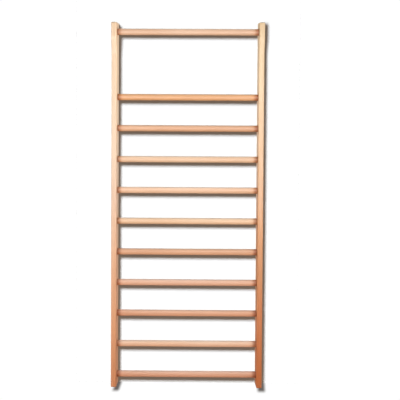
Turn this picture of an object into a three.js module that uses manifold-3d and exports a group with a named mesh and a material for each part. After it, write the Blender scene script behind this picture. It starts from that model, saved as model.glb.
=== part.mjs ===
// Swedish wall bars: two tall side uprights with a forward-reaching head, ten oval
// rungs at an even pitch and one top rung set further forward in the heads.
// Millimetres, +Z up, +X to the right, the climber stands on the -Y side and the
// wall is on the +Y side. The origin is on the floor, at the middle of the box.

import * as THREE from 'three';
import { mergeVertices } from 'three/addons/utils/BufferGeometryUtils.js';
import Module from 'manifold-3d';

// ---- overall ---------------------------------------------------------------
const WIDTH = 1000;             // outside to outside of the uprights
const HEIGHT = 2425;            // floor to the highest point of the heads, at their back

// ---- uprights --------------------------------------------------------------
const UPRIGHT_T = 35;           // thickness, along X
const UPRIGHT_D = 110;          // depth of the plain length, along Y
const NOSE = 24;                // how far the head reaches in front of the plain length
const NOSE_LOW = 113;           // the head's straight front ends this far below the top
const NOSE_END = 225;           // the slope under the head ends this far below the top
const NOSE_EASE = 28;           // how gently that slope starts and ends
const TOP_RISE = 26;            // how much the head's top rises from its front to its back
const TOP_R = 12;               // rounded front and back corners of the head
const FOOT_C = 3;               // small chamfer on the front and back of the foot
const EDGE_C = 2.5;             // eased long edges

// ---- rungs -----------------------------------------------------------------
const RUNG_H = 42;              // oval section, height
const RUNG_D = 32;              // oval section, depth
const RUNG_POWER = 2.25;        // 2 is a plain ellipse, larger is a fuller oval
const RUNG_SIDES = 24;
const RUNG_COUNT = 10;          // evenly spaced rungs, the top rung is one more
const RUNG_LOW = 76;            // centre of the lowest rung above the floor
const RUNG_PITCH = 205.5;
const TOP_RUNG_DROP = 75;       // centre of the top rung below the highest point
const RUNG_SETBACK = 55;        // rung centre behind the front edge that it sits in
const MORTISE = 22;             // how deep a rung goes into an upright

// ---- locking screws, one through each rung end, driven from the back edge -----
const SCREW_LEN = 65;
const SCREW_R = 2.25;
const SCREW_HEAD_R = 4.5;
const SCREW_HEAD_H = 3;
const SCREW_TIP = 6;
const SCREW_SUNK = 0.6;         // head below the back edge
const SCREW_SIDES = 10;

const GAP = 0.3;                // clearance between neighbouring pieces

// ---- derived ---------------------------------------------------------------
const DEPTH = UPRIGHT_D + NOSE;
const Y_NOSE = -DEPTH / 2;
const Y_FRONT = Y_NOSE + NOSE;
const Y_BACK = DEPTH / 2;
const TOP_SLOPE = Math.atan2(TOP_RISE, DEPTH);
const Z_BACK_ARC = HEIGHT - TOP_R;       // centres of the head's rounded corners
const Z_FRONT_ARC = Z_BACK_ARC - (DEPTH - 2 * TOP_R) * Math.tan(TOP_SLOPE);
const X_INNER = WIDTH / 2 - UPRIGHT_T;
const X_MID = WIDTH / 2 - UPRIGHT_T / 2;
const X_SCREW = X_INNER + MORTISE / 2;
const RUNG_Y = Y_FRONT + RUNG_SETBACK;
const TOP_RUNG_Y = Y_NOSE + RUNG_SETBACK;
const RUNG_LEN = 2 * (X_INNER + MORTISE - GAP);
// The screw in its rung's own frame: the axis is along Y through the rung's centre.
const SCREW_HEAD_Y = Y_BACK - RUNG_Y - SCREW_SUNK;

const wasm = await Module();
wasm.setup();

// ---- solids ----------------------------------------------------------------
function toSolid(geometry) {
  const g = geometry.clone();
  g.deleteAttribute('normal');
  g.deleteAttribute('uv');
  const m = mergeVertices(g, 1e-3);
  return new wasm.Manifold(new wasm.Mesh({
    numProp: 3,
    vertProperties: new Float32Array(m.attributes.position.array),
    triVerts: new Uint32Array(m.index.array),
  }));
}

function toGeometry(solid) {
  const mesh = solid.getMesh();
  const n = mesh.numProp;
  const count = mesh.vertProperties.length / n;
  const positions = new Float32Array(count * 3);
  for (let i = 0; i < count; i += 1) {
    for (let k = 0; k < 3; k += 1) positions[3 * i + k] = mesh.vertProperties[n * i + k];
  }
  const g = new THREE.BufferGeometry();
  g.setAttribute('position', new THREE.BufferAttribute(positions, 3));
  g.setIndex(new THREE.BufferAttribute(new Uint32Array(mesh.triVerts), 1));
  g.computeVertexNormals();
  return g;
}

// An outline drawn in (Y, Z) is pushed along X, centred on X = 0.
const ALONG_X = new THREE.Matrix4().makeBasis(
  new THREE.Vector3(0, 1, 0), new THREE.Vector3(0, 0, 1), new THREE.Vector3(1, 0, 0));

function pushAlongX(shape, length, chamfer, curveSegments) {
  const g = new THREE.ExtrudeGeometry(shape, {
    depth: length - 2 * chamfer,
    steps: 1,
    curveSegments,
    bevelEnabled: chamfer > 0,
    bevelThickness: chamfer,
    bevelSize: chamfer,
    bevelOffset: -chamfer,
    bevelSegments: 1,
  });
  g.translate(0, 0, -(length - 2 * chamfer) / 2);
  g.applyMatrix4(ALONG_X);
  return g;
}

function ovalShape(grow) {
  const points = [];
  for (let i = 0; i < RUNG_SIDES; i += 1) {
    const a = (2 * Math.PI * i) / RUNG_SIDES;
    const c = Math.cos(a);
    const s = Math.sin(a);
    const e = 2 / RUNG_POWER;
    points.push(new THREE.Vector2(
      (RUNG_D / 2 + grow) * Math.sign(c) * Math.abs(c) ** e,
      (RUNG_H / 2 + grow) * Math.sign(s) * Math.abs(s) ** e));
  }
  return new THREE.Shape(points);
}

// Turned about the screw's axis: the tip points to -Y, the head's flat faces +Y,
// and the head's flat is at y = 0.
function screwTurned(grow, headRun) {
  const r = SCREW_R + grow;
  const R = SCREW_HEAD_R + grow;
  const end = -SCREW_LEN - grow;
  const profile = [
    new THREE.Vector2(0, end),
    new THREE.Vector2(r, end + SCREW_TIP),
    new THREE.Vector2(r, -SCREW_HEAD_H - grow),
    new THREE.Vector2(R, 0),
  ];
  if (headRun > 0) profile.push(new THREE.Vector2(R, headRun));
  profile.push(new THREE.Vector2(0, headRun));
  return new THREE.LatheGeometry(profile, SCREW_SIDES);
}

// The room that a screw and its driver take, from the tip to past the back edge.
const screwRoom = (headRun) => toSolid(screwTurned(GAP, headRun));

// ---- rung, in its own frame ---------------------------------------------------
function rungGeometry() {
  let solid = toSolid(pushAlongX(ovalShape(0), RUNG_LEN, 1.2, 1));
  for (const side of [-1, 1]) {
    solid = solid.subtract(screwRoom(40).translate([side * X_SCREW, SCREW_HEAD_Y, 0]));
  }
  return toGeometry(solid);
}

// ---- upright -----------------------------------------------------------------
function uprightShape() {
  const s = new THREE.Shape();
  s.moveTo(Y_FRONT, FOOT_C);
  s.lineTo(Y_FRONT + FOOT_C, 0);
  s.lineTo(Y_BACK - FOOT_C, 0);
  s.lineTo(Y_BACK, FOOT_C);
  s.lineTo(Y_BACK, Z_BACK_ARC);
  s.absarc(Y_BACK - TOP_R, Z_BACK_ARC, TOP_R, 0, Math.PI / 2 + TOP_SLOPE, false);
  s.absarc(Y_NOSE + TOP_R, Z_FRONT_ARC, TOP_R, Math.PI / 2 + TOP_SLOPE, Math.PI, false);
  s.lineTo(Y_NOSE, HEIGHT - NOSE_LOW);
  s.bezierCurveTo(
    Y_NOSE, HEIGHT - NOSE_LOW - NOSE_EASE,
    Y_FRONT, HEIGHT - NOSE_END + NOSE_EASE,
    Y_FRONT, HEIGHT - NOSE_END);
  s.closePath();
  return s;
}

function uprightSolid(side, seats) {
  let solid = toSolid(pushAlongX(uprightShape(), UPRIGHT_T, EDGE_C, 6));
  solid = solid.translate([side * X_MID, 0, 0]);
  const pocket = toSolid(pushAlongX(ovalShape(GAP), MORTISE + 20, 0, 1));
  for (const seat of seats) {
    const xPocket = side * (X_INNER + MORTISE - (MORTISE + 20) / 2);
    solid = solid.subtract(pocket.translate([xPocket, seat.y, seat.z]));
    const headY = seat.y + SCREW_HEAD_Y;
    solid = solid.subtract(
      screwRoom(Y_BACK - headY + 5).translate([side * X_SCREW, headY, seat.z]));
  }
  return solid;
}

// ---- finishes ------------------------------------------------------------------
const uprightWood = () => new THREE.MeshStandardMaterial({
  color: 0xe6b489, roughness: 0.42, metalness: 0 });
const rungWood = () => new THREE.MeshStandardMaterial({
  color: 0xe3a97f, roughness: 0.38, metalness: 0 });
const zincSteel = () => new THREE.MeshStandardMaterial({
  color: 0xb9bbbd, roughness: 0.35, metalness: 1 });

// ---- assembly ------------------------------------------------------------------
const seats = [];
for (let i = 0; i < RUNG_COUNT; i += 1) {
  seats.push({ name: `rung_${String(i + 1).padStart(2, '0')}`,
    y: RUNG_Y, z: RUNG_LOW + i * RUNG_PITCH });
}
seats.push({ name: 'top_rung', y: TOP_RUNG_Y, z: HEIGHT - TOP_RUNG_DROP });

const wallBars = new THREE.Group();

const uprights = new THREE.Group();
for (const [name, side] of [['left_upright', -1], ['right_upright', 1]]) {
  const mesh = new THREE.Mesh(toGeometry(uprightSolid(side, seats)), uprightWood());
  mesh.name = name;
  uprights.add(mesh);
}
wallBars.add(uprights);

const rungShape = rungGeometry();
const screwShape = screwTurned(0, 0);
for (const seat of seats) {
  const place = new THREE.Group();
  place.position.set(0, seat.y, seat.z);
  const rung = new THREE.Mesh(rungShape, rungWood());
  rung.name = seat.name;
  place.add(rung);
  for (const [name, side] of [['left', -1], ['right', 1]]) {
    const screw = new THREE.Mesh(screwShape, zincSteel());
    screw.name = `${seat.name}_screw_${name}`;
    screw.position.set(side * X_SCREW, SCREW_HEAD_Y, 0);
    place.add(screw);
  }
  wallBars.add(place);
}

export default wallBars;
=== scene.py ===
import math

import bmesh
import bpy
from mathutils import Matrix, Vector


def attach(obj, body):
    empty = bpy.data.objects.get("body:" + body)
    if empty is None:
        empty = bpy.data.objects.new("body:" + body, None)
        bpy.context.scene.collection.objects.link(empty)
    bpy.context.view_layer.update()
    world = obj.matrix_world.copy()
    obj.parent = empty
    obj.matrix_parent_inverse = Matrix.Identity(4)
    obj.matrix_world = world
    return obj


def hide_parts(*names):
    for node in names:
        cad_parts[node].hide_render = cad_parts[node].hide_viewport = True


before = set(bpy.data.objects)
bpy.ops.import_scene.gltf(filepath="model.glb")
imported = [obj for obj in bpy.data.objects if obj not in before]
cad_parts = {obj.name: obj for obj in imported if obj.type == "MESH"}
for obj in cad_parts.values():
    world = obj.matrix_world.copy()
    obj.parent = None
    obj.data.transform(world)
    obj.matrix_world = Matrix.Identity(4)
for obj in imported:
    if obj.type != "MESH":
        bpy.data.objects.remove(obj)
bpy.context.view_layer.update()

scene = bpy.context.scene

# ------------------------------------------------------------------ dimensions, metres
HEIGHT = 2.425                 # highest point, at the back of the heads
WIDTH = 1.0
T = 0.035                      # upright thickness
Y_NOSE, Y_FRONT, Y_BACK = -0.067, -0.043, 0.067
NOSE_LOW, NOSE_END, NOSE_EASE = 0.113, 0.225, 0.028
X_INNER = WIDTH / 2 - T
EDGE_R = 0.0048                # rounded long edges
TOP_R = 0.012
TOP_SLOPE = math.atan2(0.026, Y_BACK - Y_NOSE)
Z_BACK_ARC = HEIGHT - TOP_R - 0.00001      # centres of the head's rounded corners
Z_FRONT_ARC = Z_BACK_ARC - (Y_BACK - Y_NOSE - 2 * TOP_R) * math.tan(TOP_SLOPE)
FOOT_R = 0.0064
RUNG_H, RUNG_D, RUNG_POWER = 0.042, 0.032, 2.25
RUNG_LOW, RUNG_PITCH = 0.076, 0.2055
RUNG_Y, TOP_RUNG_Y, TOP_RUNG_Z = 0.012, -0.012, HEIGHT - 0.075
MORTISE = 0.022
GAP = 0.0003
X_SCREW = X_INNER + MORTISE / 2
SCREW_LEN, SCREW_R, SCREW_HEAD_R, SCREW_HEAD_H = 0.065, 0.00225, 0.0045, 0.003
SCREW_HEAD_Y = Y_BACK - RUNG_Y - 0.0006      # from the rung's centre to the head's flat

SEATS = [("rung_%02d" % (i + 1), RUNG_Y, RUNG_LOW + i * RUNG_PITCH) for i in range(10)]
SEATS.append(("top_rung", TOP_RUNG_Y, TOP_RUNG_Z))


# ------------------------------------------------------------------ mesh helpers
def new_object(name, bm):
    mesh = bpy.data.meshes.new(name)
    bmesh.ops.recalc_face_normals(bm, faces=bm.faces[:])
    bm.to_mesh(mesh)
    bm.free()
    obj = bpy.data.objects.new(name, mesh)
    scene.collection.objects.link(obj)
    return obj


def drop(obj):
    mesh = obj.data
    bpy.data.objects.remove(obj)
    bpy.data.meshes.remove(mesh)


def cut(obj, cutter):
    """Takes the cutter's solid out of obj for good."""
    mod = obj.modifiers.new("cut", "BOOLEAN")
    mod.operation = "DIFFERENCE"
    mod.solver = "EXACT"
    mod.object = cutter
    bpy.context.view_layer.update()
    evaluated = obj.evaluated_get(bpy.context.evaluated_depsgraph_get())
    mesh = bpy.data.meshes.new_from_object(evaluated)
    mesh.name = obj.data.name + "_cut"
    old = obj.data
    obj.modifiers.clear()
    obj.data = mesh
    bpy.data.meshes.remove(old)
    drop(cutter)


def tidy(obj, angle):
    """Welds stray doubles and shades smooth, with creases kept."""
    bm = bmesh.new()
    bm.from_mesh(obj.data)
    bmesh.ops.remove_doubles(bm, verts=bm.verts[:], dist=2e-6)
    bmesh.ops.dissolve_degenerate(bm, edges=bm.edges[:], dist=1e-6)
    bmesh.ops.recalc_face_normals(bm, faces=bm.faces[:])
    bm.to_mesh(obj.data)
    bm.free()
    obj.data.shade_smooth()
    obj.data.set_sharp_from_angle(angle=math.radians(angle))
    mod = obj.modifiers.new("normals", "WEIGHTED_NORMAL")
    mod.keep_sharp = True
    mod.weight = 60


def arc(cy, cz, r, a0, a1, n):
    return [(cy + r * math.cos(a0 + (a1 - a0) * i / n), cz + r * math.sin(a0 + (a1 - a0) * i / n)) for i in range(n + 1)]


def bezier(p0, p1, p2, p3, n):
    out = []
    for i in range(n + 1):
        t = i / n
        u = 1 - t
        out.append(tuple(u ** 3 * a + 3 * u * u * t * b + 3 * u * t * t * c + t ** 3 * d for a, b, c, d in zip(p0, p1, p2, p3)))
    return out


def rings_to_mesh(bm, rings, cap=True):
    """Joins closed rings of points, all of one length, into a tube with end faces."""
    made = [[bm.verts.new(p) for p in ring] for ring in rings]
    n = len(made[0])
    for a, b in zip(made, made[1:]):
        for i in range(n):
            bm.faces.new((a[i], a[(i + 1) % n], b[(i + 1) % n], b[i]))
    if cap:
        bm.faces.new(list(reversed(made[0])))
        bm.faces.new(made[-1])
    return made


def oval(grow, n=64):
    e = 2 / RUNG_POWER
    pts = []
    for i in range(n):
        a = 2 * math.pi * i / n
        c, s = math.cos(a), math.sin(a)
        pts.append(((RUNG_D / 2 + grow) * math.copysign(abs(c) ** e, c), (RUNG_H / 2 + grow) * math.copysign(abs(s) ** e, s)))
    return pts


# ------------------------------------------------------------------ upright
def upright_outline():
    """The side outline in (y, z), counter-clockwise seen with +Y to the right."""
    q = math.pi / 2
    pts = arc(Y_FRONT + FOOT_R, FOOT_R, FOOT_R, 2 * q, 3 * q, 6)
    pts += arc(Y_BACK - FOOT_R, FOOT_R, FOOT_R, 3 * q, 4 * q, 6)
    pts += [(Y_BACK, z) for z in (0.4, 0.8, 1.2, 1.6, 2.0)]
    pts += arc(Y_BACK - TOP_R, Z_BACK_ARC, TOP_R, 0, q + TOP_SLOPE, 11)
    pts += arc(Y_NOSE + TOP_R, Z_FRONT_ARC, TOP_R, q + TOP_SLOPE, 2 * q, 9)
    pts += bezier((Y_NOSE, HEIGHT - NOSE_LOW), (Y_NOSE, HEIGHT - NOSE_LOW - NOSE_EASE),
                  (Y_FRONT, HEIGHT - NOSE_END + NOSE_EASE), (Y_FRONT, HEIGHT - NOSE_END), 24)
    pts += [(Y_FRONT, z) for z in (2.0, 1.6, 1.2, 0.8, 0.4)]
    return pts


def inward(pts):
    """Unit normals pointing into a counter-clockwise outline."""
    n = len(pts)
    out = []
    for i in range(n):
        a, b, c = Vector(pts[i - 1]), Vector(pts[i]), Vector(pts[(i + 1) % n])
        d0, d1 = (b - a).normalized(), (c - b).normalized()
        n0, n1 = Vector((-d0.y, d0.x)), Vector((-d1.y, d1.x))
        m = (n0 + n1).normalized()
        out.append(m / max(0.5, m.dot(n0)))
    return out


def pocket_cutter(side):
    """Oval mortises with a small eased mouth."""
    bm = bmesh.new()
    for _, y, z in SEATS:
        rings = []
        for depth, grow in ((MORTISE, GAP), (0.0009, GAP), (0.0, GAP + 0.0008), (-0.004, GAP + 0.0008)):
            x = side * (X_INNER + depth)
            rings.append([(x, y + p, z + q) for p, q in oval(grow)])
        rings_to_mesh(bm, rings)
    return new_object("pockets", bm)


def screw_rings(grow, head_run, n, tip):
    """A screw's outline turned about its axis, head's flat at y = 0, point towards -Y."""
    r, big = SCREW_R + grow, SCREW_HEAD_R + grow
    prof = [(0.35 * r, -SCREW_LEN - grow), (r, -SCREW_LEN + tip), (r, -SCREW_HEAD_H - grow), (big, -0.0003), (big, head_run)]
    return [[(rad * math.cos(2 * math.pi * i / n), y, rad * math.sin(2 * math.pi * i / n)) for i in range(n)] for rad, y in prof]


def screw_cutter(sides, seats):
    bm = bmesh.new()
    for side in sides:
        for y, z in seats:
            head = y + SCREW_HEAD_Y
            rings = screw_rings(GAP, Y_BACK - head + 0.004, 24, 0.006)
            rings_to_mesh(bm, [[(side * X_SCREW + p[0], head + p[1], z + p[2]) for p in ring] for ring in rings])
    return new_object("screw_room", bm)


def make_upright(name, side):
    pts = upright_outline()
    norms = inward(pts)
    steps = 5
    rings = []
    for sign in (-1, 1):
        order = range(steps, -1, -1) if sign < 0 else range(0, steps + 1)
        for k in order:
            a = (math.pi / 2) * k / steps
            inset = EDGE_R * (1 - math.cos(a))
            x = side * (WIDTH / 2 - T / 2) + sign * (T / 2 - EDGE_R + EDGE_R * math.sin(a))
            rings.append([(x, p[0] + nrm.x * inset, p[1] + nrm.y * inset) for p, nrm in zip(pts, norms)])
    bm = bmesh.new()
    rings_to_mesh(bm, rings)
    obj = new_object(name, bm)
    cut(obj, pocket_cutter(side))
    cut(obj, screw_cutter([side], [(y, z) for _, y, z in SEATS]))
    tidy(obj, 30)
    return obj


# ------------------------------------------------------------------ rung
def make_rung_template():
    half = X_INNER + MORTISE - GAP
    ease = 0.0016
    rings = []
    xs = [(-half, ease), (-half + ease * 0.35, ease * 0.45), (-half + ease, 0.0)]
    inner = [-X_INNER + 0.93 * i / 24 for i in range(25)]
    for x, inset in xs + [(x, 0.0) for x in inner] + [(-x, i) for x, i in reversed(xs)]:
        rings.append([(x, p, q) for p, q in oval(-inset)])
    bm = bmesh.new()
    rings_to_mesh(bm, rings)
    obj = new_object("rung_template", bm)
    # Holes for the screws, in the rung's own frame.
    bm = bmesh.new()
    for side in (-1, 1):
        rings = screw_rings(GAP, 0.02, 24, 0.006)
        rings_to_mesh(bm, [[(side * X_SCREW + p[0], SCREW_HEAD_Y + p[1], p[2]) for p in ring] for ring in rings])
    cut(obj, new_object("screw_room", bm))
    return obj


# ------------------------------------------------------------------ screw
def make_screw_template():
    """Countersunk wood screw: cross recess, plain neck and a thread that fades at the point."""
    n = 20
    pitch, crest = 0.0026, 0.00026
    start, end = -0.024, -SCREW_LEN
    rings = []

    def ring(y, radius):
        rings.append([(radius(i) * math.cos(2 * math.pi * i / n), y, radius(i) * math.sin(2 * math.pi * i / n)) for i in range(n)])

    ring(end, lambda i: 0.0002)
    steps = 110
    for k in range(1, steps + 1):
        y = end + (start - end) * k / steps
        taper = min(1.0, (y - end) / 0.006)
        fade = min(1.0, (start - y) / 0.003)

        def radius(i, y=y, taper=taper, fade=fade):
            phase = (y / pitch - i / n) % 1.0
            tooth = max(0.0, 1.0 - abs(phase - 0.5) / 0.24)
            return max(0.00025, taper * (SCREW_R - 0.00055 + (crest + 0.00045) * tooth * fade))
        ring(y, radius)
    for y, r in ((start + 0.0006, SCREW_R - 0.0003), (-SCREW_HEAD_H, SCREW_R - 0.0003),
                 (-0.00045, SCREW_HEAD_R - 0.0001), (-0.00015, SCREW_HEAD_R), (0.0, SCREW_HEAD_R - 0.00012)):
        ring(y, lambda i, r=r: r)
    bm = bmesh.new()
    rings_to_mesh(bm, rings)
    obj = new_object("screw_template", bm)
    # Cross recess, narrower towards its floor.
    bm = bmesh.new()
    for turn in (0, 1):
        made = []
        for y, half_l, half_w in ((0.0006, 0.0026, 0.00062), (-0.0020, 0.00145, 0.0004)):
            loop = [(-half_l, -half_w), (half_l, -half_w), (half_l, half_w), (-half_l, half_w)]
            made.append([(a, y, b) if turn == 0 else (-b, y, a) for a, b in loop])
        rings_to_mesh(bm, made)
        cutter = new_object("recess", bm)
        cut(obj, cutter)
        bm = bmesh.new()
    bm.free()
    return obj


# ------------------------------------------------------------------ materials
class Tree:
    """Short calls for building a material's nodes."""

    def __init__(self, name):
        self.mat = bpy.data.materials.new(name)
        self.mat.use_nodes = True
        self.nt = self.mat.node_tree
        self.nt.nodes.clear()
        self.out = self.node("ShaderNodeOutputMaterial")
        self.bsdf = self.node("ShaderNodeBsdfPrincipled")
        self.link(self.bsdf.outputs[0], self.out.inputs[0])

    def node(self, kind, **props):
        nd = self.nt.nodes.new(kind)
        for k, v in props.items():
            setattr(nd, k, v)
        return nd

    def link(self, a, b):
        self.nt.links.new(a, b)

    def feed(self, socket, value):
        if isinstance(value, bpy.types.NodeSocket):
            self.link(value, socket)
        else:
            socket.default_value = value

    def math(self, op, a, b=0.0, c=None, clamp=False):
        nd = self.node("ShaderNodeMath", operation=op, use_clamp=clamp)
        self.feed(nd.inputs[0], a)
        self.feed(nd.inputs[1], b)
        if c is not None:
            self.feed(nd.inputs[2], c)
        return nd.outputs[0]

    def smooth(self, value, lo, hi, out_lo=0.0, out_hi=1.0):
        nd = self.node("ShaderNodeMapRange", interpolation_type="SMOOTHSTEP")
        self.feed(nd.inputs["Value"], value)
        for k, v in (("From Min", lo), ("From Max", hi), ("To Min", out_lo), ("To Max", out_hi)):
            nd.inputs[k].default_value = v
        return nd.outputs[0]

    def ramp(self, value, lo, hi, out_lo=0.0, out_hi=1.0):
        nd = self.node("ShaderNodeMapRange", interpolation_type="LINEAR", clamp=True)
        self.feed(nd.inputs["Value"], value)
        for k, v in (("From Min", lo), ("From Max", hi), ("To Min", out_lo), ("To Max", out_hi)):
            nd.inputs[k].default_value = v
        return nd.outputs[0]

    def mix(self, fac, a, b, blend="MIX"):
        nd = self.node("ShaderNodeMix", data_type="RGBA", blend_type=blend)
        self.feed(nd.inputs["Factor"], fac)
        self.feed(nd.inputs["A"], a if isinstance(a, bpy.types.NodeSocket) else (*a, 1.0))
        self.feed(nd.inputs["B"], b if isinstance(b, bpy.types.NodeSocket) else (*b, 1.0))
        return nd.outputs["Result"]

    def mapped(self, vector, scale, offset=(0, 0, 0)):
        nd = self.node("ShaderNodeMapping")
        self.link(vector, nd.inputs["Vector"])
        nd.inputs["Scale"].default_value = scale
        nd.inputs["Location"].default_value = offset
        return nd.outputs[0]

    def noise(self, vector, scale=1.0, detail=2.0, rough=0.5, distort=0.0):
        nd = self.node("ShaderNodeTexNoise")
        self.link(vector, nd.inputs["Vector"])
        nd.inputs["Scale"].default_value = scale
        nd.inputs["Detail"].default_value = detail
        nd.inputs["Roughness"].default_value = rough
        nd.inputs["Distortion"].default_value = distort
        return nd.outputs["Fac"]


def along(axis, length, across):
    """Scale that stretches a pattern along the grain."""
    s = [across, across, across]
    s[axis] = length
    return tuple(s)


def shade(light, depth, gold=0.0):
    """A lacquered beech tone: light scales it, depth makes it more saturated, gold more yellow."""
    r, g, b = (light * c ** depth for c in (0.86, 0.55, 0.37))
    return r, g, b * (1 - gold)


def wood(name, axis, seed, tone_of, painted_light, matt, coat):
    """Lacquered beech: growth bands, fibres and short flecks that run along the grain axis.
    tone_of(tree, position) gives the tone, on the uprights with painted light in it; the second function, taking
    (tree, position, colour), lays painted shade and sheen over it.
    matt is the lowest roughness, coat the weight of the clear lacquer."""
    t = Tree(name)
    coord = t.node("ShaderNodeTexCoord").outputs["Object"]
    off = (0.731 * seed, 1.417 * seed, 2.193 * seed)
    warp = t.noise(t.mapped(coord, along(axis, 1.3, 9.0), off), detail=1.0)
    # growth bands, a few millimetres to a few centimetres wide
    bands = t.noise(t.mapped(coord, along(axis, 0.9, 75.0), tuple(3.1 * o for o in off)), detail=3.0, rough=0.55, distort=0.35)
    lines = t.noise(t.mapped(coord, along(axis, 2.4, 330.0), tuple(5.3 * o for o in off)), detail=3.0, rough=0.6)
    fibre = t.noise(t.mapped(coord, along(axis, 22.0, 1400.0), off), detail=2.0, rough=0.65)
    blotch = t.noise(t.mapped(coord, along(axis, 2.2, 14.0), tuple(1.7 * o for o in off)), detail=2.0)
    # beech flecks: short dark dashes
    vor = t.node("ShaderNodeTexVoronoi", feature="F1", distance="EUCLIDEAN")
    t.link(t.mapped(coord, along(axis, 200.0, 900.0), off), vor.inputs["Vector"])
    vor.inputs["Scale"].default_value = 1.0
    fleck = t.smooth(vor.outputs["Distance"], 0.32, 0.17)
    some = t.smooth(t.noise(t.mapped(coord, along(axis, 30.0, 120.0), off), detail=1.0), 0.36, 0.64)
    fleck = t.math("MULTIPLY", fleck, some)
    band_f = t.ramp(bands, 0.34, 0.68)
    line_f = t.ramp(lines, 0.32, 0.70)
    tone = t.math("ADD", t.math("MULTIPLY", band_f, 0.48), t.math("MULTIPLY", line_f, 0.22))
    tone = t.math("ADD", tone, t.math("MULTIPLY", t.ramp(blotch, 0.3, 0.7), 0.30))
    base = tone_of(t, coord)
    colour = t.mix(tone, t.mix(1.0, base, (1.07, 1.11, 1.14), "MULTIPLY"), t.mix(1.0, base, (0.92, 0.87, 0.82), "MULTIPLY"))
    fib = t.ramp(fibre, 0.25, 0.75, 0.93, 1.05)
    grey = t.node("ShaderNodeCombineXYZ")
    for i in range(3):
        t.link(fib, grey.inputs[i])
    colour = t.mix(1.0, colour, grey.outputs[0], "MULTIPLY")
    colour = t.mix(t.math("MULTIPLY", fleck, 0.26), colour, (0.36, 0.13, 0.055))
    # end grain is darker and shows the growth rings as arcs
    geo = t.node("ShaderNodeNewGeometry")
    sep_n = t.node("ShaderNodeSeparateXYZ")
    t.link(geo.outputs["Normal"], sep_n.inputs[0])
    end = t.smooth(t.math("ABSOLUTE", sep_n.outputs[axis]), 0.80, 0.96)
    ring = t.node("ShaderNodeTexWave", wave_type="RINGS", rings_direction="XYZ"[axis], wave_profile="SAW")
    t.link(t.mapped(coord, along(axis, 0.0, 1.0), (0.11, 0.16, 0.13)), ring.inputs["Vector"])
    ring.inputs["Scale"].default_value = 46.0
    ring.inputs["Distortion"].default_value = 1.6
    ring.inputs["Detail"].default_value = 2.0
    end_tone = t.mix(t.ramp(ring.outputs["Fac"], 0.0, 1.0), (0.62, 0.52, 0.45), (0.92, 0.86, 0.80))
    end_col = t.mix(1.0, base, end_tone, "MULTIPLY")
    colour = t.mix(t.math("MULTIPLY", end, 0.85), colour, end_col)
    # painted shade and sheen laid over the wood's colour
    colour = painted_light(t, coord, colour)
    t.link(colour, t.bsdf.inputs["Base Color"])
    rough = t.math("ADD", t.ramp(fibre, 0.2, 0.8, matt, matt + 0.10), t.math("MULTIPLY", end, 0.22))
    rough = t.math("ADD", rough, t.ramp(warp, 0.3, 0.7, -0.03, 0.03))
    t.link(rough, t.bsdf.inputs["Roughness"])
    t.bsdf.inputs["Coat Weight"].default_value = coat
    t.bsdf.inputs["Coat Roughness"].default_value = 0.22
    t.bsdf.inputs["IOR"].default_value = 1.5
    height = t.math("ADD", t.math("MULTIPLY", fibre, 0.6), t.math("MULTIPLY", lines, 0.4))
    bump = t.node("ShaderNodeBump")
    bump.inputs["Strength"].default_value = 0.13
    bump.inputs["Distance"].default_value = 0.0004
    t.link(height, bump.inputs["Height"])
    t.link(bump.outputs[0], t.bsdf.inputs["Normal"])
    return t.mat


def xyz(t, coord):
    sep = t.node("ShaderNodeSeparateXYZ")
    t.link(coord, sep.inputs[0])
    return sep.outputs


def even(light, depth, gold):
    """One tone for the whole piece, a little pinker than the uprights."""
    def tone_of(t, coord):
        wave = t.noise(t.mapped(coord, (2.1, 3.0, 3.0), (light * 7, depth * 5, 0)), detail=1.0)
        return t.mix(t.ramp(wave, 0.3, 0.7), shade(light * 1.015, depth - 0.07, gold), shade(light * 0.985, depth + 0.07, gold))
    return tone_of


def drifting_tone_and_light(stops, side, face):
    """Tone that drifts along the height, stops are (height, light, depth, gold) from the foot up.
    It is partly the wood's own tone and partly painted light: paler and yellower towards the head as a painted sheen,
    deeper and redder towards the foot as painted shade. It is strongest on the front and inside, and mild on the outer
    face and the back."""
    def tone_of(t, coord):
        x, y, z = xyz(t, coord)
        wander = t.noise(t.mapped(coord, (14.0, 14.0, 2.4)), detail=2.0)
        nose = t.smooth(z, HEIGHT - NOSE_END, HEIGHT - NOSE_LOW, 0.0, Y_FRONT - Y_NOSE)
        z = t.math("ADD", z, t.ramp(wander, 0.2, 0.8, -0.16, 0.16))
        colour = None
        # painted light along the height: paler towards the head, deeper towards the foot
        for (z0, *tone0), (z1, *tone1) in zip(stops, stops[1:]):
            part = t.ramp(z, z0, z1)
            colour = t.mix(part, shade(*tone0) if colour is None else colour, shade(*tone1))
        y = t.math("ADD", y, t.ramp(wander, 0.2, 0.8, -0.010, 0.010))
        # the painted drift is laid fully on the front and inside; the outer face and the back take a milder tone
        outside = t.smooth(t.math("MULTIPLY", x, side), X_INNER + 0.012, X_INNER + 0.034)
        plain = t.math("MULTIPLY", t.smooth(t.math("ADD", y, nose), Y_FRONT - 0.004, Y_FRONT + 0.040), outside)
        plain = t.math("MAXIMUM", plain, t.smooth(y, Y_BACK - 0.020, Y_BACK - 0.002))
        return t.mix(t.math("MULTIPLY", plain, 0.72), colour, shade(*face))
    return tone_of


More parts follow.
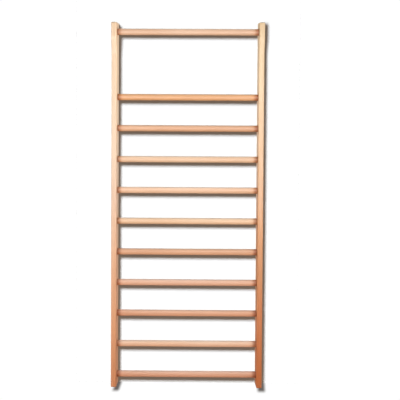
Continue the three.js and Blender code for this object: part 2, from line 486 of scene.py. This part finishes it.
def upright_painted_light(side, low, high):
    """Painted contact shade round each mortise on the inner face, and that inner face painted darker towards the foot
    and lighter towards the head, by the factors low and high.
    """
    def painted_light(t, coord, colour):
        x, y, z = xyz(t, coord)
        inner = t.smooth(t.math("MULTIPLY", x, side), X_INNER + 0.008, X_INNER + 0.001)
        # distance from the nearest rung, in oval units
        wrapped = t.math("WRAP", z, RUNG_LOW - RUNG_PITCH / 2, RUNG_LOW + RUNG_PITCH / 2)
        dz = t.math("DIVIDE", t.math("SUBTRACT", wrapped, RUNG_LOW), RUNG_H / 2)
        dy = t.math("DIVIDE", t.math("SUBTRACT", y, RUNG_Y), RUNG_D / 2)
        dist = t.math("SQRT", t.math("ADD", t.math("MULTIPLY", dz, dz), t.math("MULTIPLY", dy, dy)))
        plain = t.math("LESS_THAN", z, RUNG_LOW + 9.5 * RUNG_PITCH)
        tz = t.math("DIVIDE", t.math("SUBTRACT", z, TOP_RUNG_Z), RUNG_H / 2)
        ty = t.math("DIVIDE", t.math("SUBTRACT", y, TOP_RUNG_Y), RUNG_D / 2)
        top = t.math("SQRT", t.math("ADD", t.math("MULTIPLY", tz, tz), t.math("MULTIPLY", ty, ty)))
        # painted contact shade round each mortise
        joint_shade = t.math("MULTIPLY", t.smooth(dist, 2.0, 1.05), plain)
        joint_shade = t.math("MAXIMUM", joint_shade, t.smooth(top, 2.0, 1.05))
        joint_shade = t.math("MULTIPLY", joint_shade, inner)
        # painted light: the inner face darker towards the foot and lighter towards the head
        colour = t.mix(inner, colour, t.mix(1.0, colour, t.ramp(z, 0.3, 2.1, low, high), "MULTIPLY"))
        return t.mix(t.math("MULTIPLY", joint_shade, 0.65), colour, (0.70, 0.48, 0.36), "MULTIPLY")
    return painted_light


def rung_painted_light(amount, z0):
    """Painted light on a rung: painted shade that makes the underside redder, most on the lower rungs; a painted sheen
    that pales the top; and painted contact shade towards the ends where the rung meets the uprights.
    """
    def painted_light(t, coord, colour):
        x, y, z = xyz(t, coord)
        # painted shade: the underside redder and darker, more on the lower rungs, the rest a little paler
        under_shade = t.smooth(z, z0 + 0.012, z0 - 0.018, 0.0, max(0.0, 1.0 - z0 / 1.4))
        colour = t.mix(under_shade, t.mix(1.0, colour, (0.99, 1.03, 1.06), "MULTIPLY"), t.mix(1.0, colour, (1.02, 0.92, 0.87), "MULTIPLY"))
        # painted sheen: the top edge paler and less saturated
        colour = t.mix(t.smooth(z, z0 + 0.006, z0 + 0.020), colour, (0.98, 1.11, 1.22), "MULTIPLY")
        # painted contact shade towards both ends, where a rung meets the uprights, reaching further in at the right
        # end
        far = t.math("MAXIMUM", t.math("SUBTRACT", 0.0025, x), t.math("ADD", x, 0.005))
        wide_joint_shade = t.smooth(far, X_INNER - 0.045, X_INNER - 0.006)
        colour = t.mix(t.math("MULTIPLY", wide_joint_shade, amount), colour, (0.92, 0.82, 0.74), "MULTIPLY")
        joint_shade = t.smooth(far, X_INNER - 0.028, X_INNER - 0.005)
        return t.mix(t.math("MULTIPLY", joint_shade, amount), colour, (0.62, 0.44, 0.34), "MULTIPLY")
    return painted_light


def steel(name):
    t = Tree(name)
    coord = t.node("ShaderNodeTexCoord").outputs["Object"]
    mottled = t.noise(t.mapped(coord, (900, 900, 900)), detail=3.0)
    fine = t.noise(t.mapped(coord, (4000, 700, 4000)), detail=2.0)
    colour = t.mix(t.ramp(mottled, 0.3, 0.7), (0.56, 0.57, 0.57), (0.70, 0.69, 0.64))
    t.link(colour, t.bsdf.inputs["Base Color"])
    t.bsdf.inputs["Metallic"].default_value = 1.0
    t.link(t.ramp(fine, 0.25, 0.75, 0.26, 0.44), t.bsdf.inputs["Roughness"])
    bump = t.node("ShaderNodeBump")
    bump.inputs["Strength"].default_value = 0.15
    bump.inputs["Distance"].default_value = 0.00005
    t.link(fine, bump.inputs["Height"])
    t.link(bump.outputs[0], t.bsdf.inputs["Normal"])
    return t.mat


# ------------------------------------------------------------------ the pieces
def finish_piece(obj, material, node):
    obj.data.materials.clear()
    obj.data.materials.append(material)
    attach(obj, "root")
    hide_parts(node)


# Tone along each upright, partly wood and partly painted light: paler at the head, deeper at the foot.
LEFT_TONE_AND_LIGHT = [(0.04, 0.91, 1.88, -0.08), (0.42, 0.88, 1.47, -0.03), (0.90, 0.76, 1.08), (1.30, 0.63, 0.89, 0.04), (1.80, 0.65, 0.63, 0.13), (2.38, 0.74, 0.67, 0.11)]
RIGHT_TONE_AND_LIGHT = [(0.10, 0.82, 2.57), (0.42, 0.81, 2.24, -0.06), (0.66, 0.72, 1.74, 0.09), (1.05, 0.73, 1.64, 0.18), (1.50, 0.65, 1.20, 0.22), (2.00, 0.70, 0.65, 0.21)]
left = make_upright("left_upright_board", -1)
finish_piece(left, wood("wood_left_upright", 2, 1, drifting_tone_and_light(LEFT_TONE_AND_LIGHT, -1, (0.86, 1.15)), upright_painted_light(-1, 0.87, 1.38), 0.33, 0.15), "left_upright")
right = make_upright("right_upright_board", 1)
finish_piece(right, wood("wood_right_upright", 2, 2, drifting_tone_and_light(RIGHT_TONE_AND_LIGHT, 1, (0.85, 1.22)), upright_painted_light(1, 1.0, 1.05), 0.33, 0.15), "right_upright")

# How light each rung is, how deep its tone and how yellow.
RUNG_TONES = {
    "rung_01": (0.92, 1.23, -0.17), "rung_02": (0.93, 0.86, -0.05), "rung_03": (0.83, 1.33, -0.13), "rung_04": (0.83, 1.10, -0.12),
    "rung_05": (0.74, 1.31, -0.05), "rung_06": (0.78, 0.87, 0.05), "rung_07": (0.79, 0.99, -0.02), "rung_08": (0.75, 0.90, 0.03),
    "rung_09": (0.72, 1.28, -0.02), "rung_10": (0.78, 1.43, 0.12), "top_rung": (0.76, 1.01, -0.02),
}

template = make_rung_template()
for i, (name, y, z) in enumerate(SEATS):
    mesh = template.data.copy()
    mesh.name = name + "_bar"
    mesh.transform(Matrix.Translation((0, y, z)))
    rung = bpy.data.objects.new(name + "_bar", mesh)
    scene.collection.objects.link(rung)
    tidy(rung, 30)
    finish_piece(rung, wood("wood_" + name, 0, 10 + i, even(*RUNG_TONES[name]), rung_painted_light(1.0, z), 0.43, 0.06), name)
drop(template)

zinc = steel("zinc_plated_steel")
template = make_screw_template()
for i, (name, y, z) in enumerate(SEATS):
    for word, side in (("left", -1), ("right", 1)):
        mesh = template.data.copy()
        node = "%s_screw_%s" % (name, word)
        mesh.name = node + "_steel"
        turn = Matrix.Rotation(math.radians(17 + 29 * i + 11 * side), 4, "Y")
        mesh.transform(Matrix.Translation((side * X_SCREW, y + SCREW_HEAD_Y, z)) @ turn)
        screw = bpy.data.objects.new(node + "_steel", mesh)
        scene.collection.objects.link(screw)
        tidy(screw, 40)
        finish_piece(screw, zinc, node)
drop(template)

# ------------------------------------------------------------------ floor, light, camera
bm = bmesh.new()
bmesh.ops.create_grid(bm, x_segments=1, y_segments=1, size=30)
floor = new_object("floor", bm)
floor.location.z = -0.0004
ground = Tree("pale_floor")
pale, nt, out = ground.mat, ground.nt, ground.out
nt.nodes.remove(ground.bsdf)
mix = nt.nodes.new("ShaderNodeMixShader")
path = nt.nodes.new("ShaderNodeLightPath")
dim = nt.nodes.new("ShaderNodeBsdfDiffuse")
dim.inputs["Color"].default_value = (0.32, 0.24, 0.17, 1)
# White, with a painted soft contact shadow in front of each foot and to its right.
place = ground.node("ShaderNodeSeparateXYZ")
ground.link(ground.node("ShaderNodeNewGeometry").outputs["Position"], place.inputs[0])
ahead = ground.smooth(place.outputs["Y"], Y_FRONT - 0.108, Y_FRONT - 0.024)
behind = ground.smooth(place.outputs["Y"], Y_BACK, Y_BACK + 0.03, 1.0, 0.0)
beside = []
for x, half, lean in ((-X_INNER - T / 2 + 0.023, 0.0205, 0.0), (X_INNER + T / 2 + 0.015, 0.0245, 0.1)):
    middle = ground.math("ADD", ground.math("MULTIPLY", ground.math("SUBTRACT", place.outputs["Y"], Y_FRONT), lean), x)
    off = ground.math("ABSOLUTE", ground.math("SUBTRACT", place.outputs["X"], middle))
    beside.append(ground.smooth(off, half - 0.0145, half + 0.0145, 1.0, 0.0))
# painted shadow of each foot on the floor
painted_foot_shadow = ground.math("MULTIPLY", ground.math("MULTIPLY", ahead, behind), ground.math("ADD", *beside))
glow = nt.nodes.new("ShaderNodeEmission")
glow.inputs["Strength"].default_value = 1.02
ground.link(ground.mix(painted_foot_shadow, (1, 1, 1), (0.15, 0.13, 0.12)), glow.inputs["Color"])
nt.links.new(path.outputs["Is Camera Ray"], mix.inputs[0])
nt.links.new(dim.outputs[0], mix.inputs[1])
nt.links.new(glow.outputs[0], mix.inputs[2])
nt.links.new(mix.outputs[0], out.inputs[0])
floor.data.materials.append(pale)

world = bpy.data.worlds.new("studio")
scene.world = world
world.use_nodes = True
nt = world.node_tree
nt.nodes.clear()
out = nt.nodes.new("ShaderNodeOutputWorld")
seen = nt.nodes.new("ShaderNodeBackground")
seen.inputs["Color"].default_value = (1, 1, 1, 1)
seen.inputs["Strength"].default_value = 1.02
# Soft, even light; bright panels far to the left and right, warm walls at the back.
soft = nt.nodes.new("ShaderNodeBackground")
where = nt.nodes.new("ShaderNodeTexCoord")
split = nt.nodes.new("ShaderNodeSeparateXYZ")
nt.links.new(where.outputs["Generated"], split.inputs[0])


def slope(value, lo, hi):
    nd = nt.nodes.new("ShaderNodeMapRange")
    nd.interpolation_type = "SMOOTHSTEP"
    nd.inputs["From Min"].default_value = lo
    nd.inputs["From Max"].default_value = hi
    nt.links.new(value, nd.inputs["Value"])
    return nd.outputs[0]


def blend(fac, a, b):
    nd = nt.nodes.new("ShaderNodeMix")
    nd.data_type = "RGBA"
    nt.links.new(fac, nd.inputs["Factor"])
    if isinstance(a, bpy.types.NodeSocket):
        nt.links.new(a, nd.inputs["A"])
    else:
        nd.inputs["A"].default_value = (*a, 1)
    nd.inputs["B"].default_value = (*b, 1)
    return nd.outputs["Result"]


away = nt.nodes.new("ShaderNodeMath")
away.operation = "ABSOLUTE"
nt.links.new(split.outputs["X"], away.inputs[0])
sky = blend(slope(split.outputs["Y"], 0.30, 0.85), (0.14, 0.138, 0.135), (0.36, 0.31, 0.26))
sky = blend(slope(away.outputs[0], 0.50, 0.95), sky, (1.00, 0.97, 0.92))
nt.links.new(sky, soft.inputs["Color"])
mix = nt.nodes.new("ShaderNodeMixShader")
path = nt.nodes.new("ShaderNodeLightPath")
nt.links.new(path.outputs["Is Camera Ray"], mix.inputs[0])
nt.links.new(soft.outputs[0], mix.inputs[1])
nt.links.new(seen.outputs[0], mix.inputs[2])
nt.links.new(mix.outputs[0], out.inputs[0])


def softbox(name, place, aim, size_x, size_y, power, spread, colour=(1, 0.985, 0.96)):
    data = bpy.data.lights.new(name, "AREA")
    data.shape = "RECTANGLE"
    data.size, data.size_y = size_x, size_y
    data.energy = power
    data.spread = math.radians(spread)
    data.color = colour
    lamp = bpy.data.objects.new(name, data)
    scene.collection.objects.link(lamp)
    lamp.location = place
    lamp.rotation_mode = "QUATERNION"
    lamp.rotation_quaternion = (Vector(aim) - Vector(place)).to_track_quat("-Z", "Y")
    lamp.visible_camera = False
    return lamp


softbox("front_left", (-0.9, -3.2, 1.90), (-0.45, 0.0, 1.95), 0.9, 2.1, 19, 95)
softbox("front_right", (0.9, -3.2, 1.90), (0.45, 0.0, 1.95), 0.9, 2.1, 19, 95)
softbox("low_left", (-2.6, -2.8, 0.50), (0.0, 0.0, 0.50), 1.6, 0.8, 10, 110, (1.0, 0.70, 0.46))
softbox("low_right", (2.6, -2.8, 0.50), (0.0, 0.0, 0.50), 1.6, 0.8, 10, 110, (1.0, 0.70, 0.46))
softbox("side_left", (-3.0, 0.6, 1.25), (0.0, 0.0, 1.20), 1.0, 2.4, 25, 180)
softbox("side_right", (3.0, 0.6, 1.25), (0.0, 0.0, 1.20), 1.0, 2.4, 25, 180)
softbox("back_left", (-2.6, 3.4, 1.7), (0.0, 0.0, 1.2), 1.6, 1.8, 70, 180)
softbox("back_right", (2.6, 3.4, 1.7), (0.0, 0.0, 1.2), 1.6, 1.8, 70, 180)

# A white backdrop where the wall would be, seen from the front only. It has lamps of its own that light
# nothing else, so it shows the soft shadows of the bars and leaves their own light alone.
others = bpy.data.collections.new("all_but_backdrop")
for lamp in [o for o in scene.objects if o.type == "LIGHT"]:
    lamp.light_linking.receiver_collection = others


def backdrop(name, x0, x1, z0, z1, lamp_at, tall, watts):
    y = Y_BACK + 0.0006
    mesh = bpy.data.meshes.new(name)
    mesh.from_pydata([(x0, y, z0), (x1, y, z0), (x1, y, z1), (x0, y, z1)], [], [(0, 1, 2, 3)])
    wall = bpy.data.objects.new(name, mesh)
    scene.collection.objects.link(wall)
    wall.visible_diffuse = wall.visible_glossy = wall.visible_transmission = False
    wall.visible_volume_scatter = wall.visible_shadow = False
    mat = bpy.data.materials.new(name)
    mat.use_nodes = True
    nt = mat.node_tree
    nt.nodes.clear()
    out = nt.nodes.new("ShaderNodeOutputMaterial")
    # whiter away from the lamp, so that it looks evenly lit
    where = nt.nodes.new("ShaderNodeTexCoord")
    far = nt.nodes.new("ShaderNodeVectorMath")
    far.operation = "DISTANCE"
    far.inputs[1].default_value = lamp_at
    power = nt.nodes.new("ShaderNodeMath")
    power.operation = "POWER"
    power.inputs[1].default_value = 4.0
    white = nt.nodes.new("ShaderNodeMath")
    white.operation = "MULTIPLY"
    white.inputs[1].default_value = 0.03 / (y - lamp_at[1]) ** 4
    lit = nt.nodes.new("ShaderNodeBsdfDiffuse")
    glow = nt.nodes.new("ShaderNodeEmission")
    glow.inputs["Color"].default_value = (0.155, 0.115, 0.085, 1)
    both = nt.nodes.new("ShaderNodeAddShader")
    behind = nt.nodes.new("ShaderNodeNewGeometry")
    clear = nt.nodes.new("ShaderNodeBsdfTransparent")
    mix = nt.nodes.new("ShaderNodeMixShader")
    nt.links.new(where.outputs["Object"], far.inputs[0])
    nt.links.new(far.outputs["Value"], power.inputs[0])
    nt.links.new(power.outputs[0], white.inputs[0])
    nt.links.new(white.outputs[0], lit.inputs["Color"])
    nt.links.new(lit.outputs[0], both.inputs[0])
    nt.links.new(glow.outputs[0], both.inputs[1])
    nt.links.new(behind.outputs["Backfacing"], mix.inputs[0])
    nt.links.new(both.outputs[0], mix.inputs[1])
    nt.links.new(clear.outputs[0], mix.inputs[2])
    nt.links.new(mix.outputs[0], out.inputs[0])
    mesh.materials.append(mat)
    lamp = softbox(name + "_lamp", lamp_at, (lamp_at[0], 0.0, lamp_at[2]), 0.72, tall, watts, 180, (0.845, 0.892, 0.929))
    lamp.visible_glossy = False
    only = bpy.data.collections.new(name + "_only")
    only.objects.link(wall)
    lamp.light_linking.receiver_collection = only
    others.objects.link(wall)


for word, x0, x1, lamp_x, lamp_z in (("left", -0.75, 0.0, -1.20, 2.60), ("right", 0.0, X_INNER + T / 2, -0.70, 2.60),
                                     ("end", X_INNER + T / 2, 0.75, -0.70, 1.60)):
    backdrop("backdrop_low_" + word, x0, x1, 0.0, 2.15, (lamp_x, -4.02, 3.24), 1.5, 5590)
    backdrop("backdrop_top_" + word, x0, x1, 2.15, 2.6, (lamp_x, -4.02, lamp_z), 1.1, 5730)
for link in others.collection_objects:
    link.light_linking.link_state = "EXCLUDE"

cam_data = bpy.data.cameras.new("camera")
cam = bpy.data.objects.new("camera", cam_data)
scene.collection.objects.link(cam)
cam_data.sensor_fit = "HORIZONTAL"
cam_data.sensor_width = 36.0
cam_data.lens = 54.453
cam_data.shift_x = 0.03
cam_data.clip_end = 200
pitch, yaw, roll = -0.02565, -0.00720, 0.00576
ahead = Vector((math.sin(yaw) * math.cos(pitch), math.cos(yaw) * math.cos(pitch), math.sin(pitch)))
right_v = Vector((math.cos(yaw), -math.sin(yaw), 0))
up_v = right_v.cross(ahead)
rx = math.cos(roll) * right_v + math.sin(roll) * up_v
ux = -math.sin(roll) * right_v + math.cos(roll) * up_v
cam.matrix_world = Matrix(((rx.x, ux.x, -ahead.x, 0.0344), (rx.y, ux.y, -ahead.y, -4.020), (rx.z, ux.z, -ahead.z, 1.3477), (0, 0, 0, 1)))
scene.camera = cam

scene.view_settings.view_transform = "Standard"
scene.view_settings.look = "None"
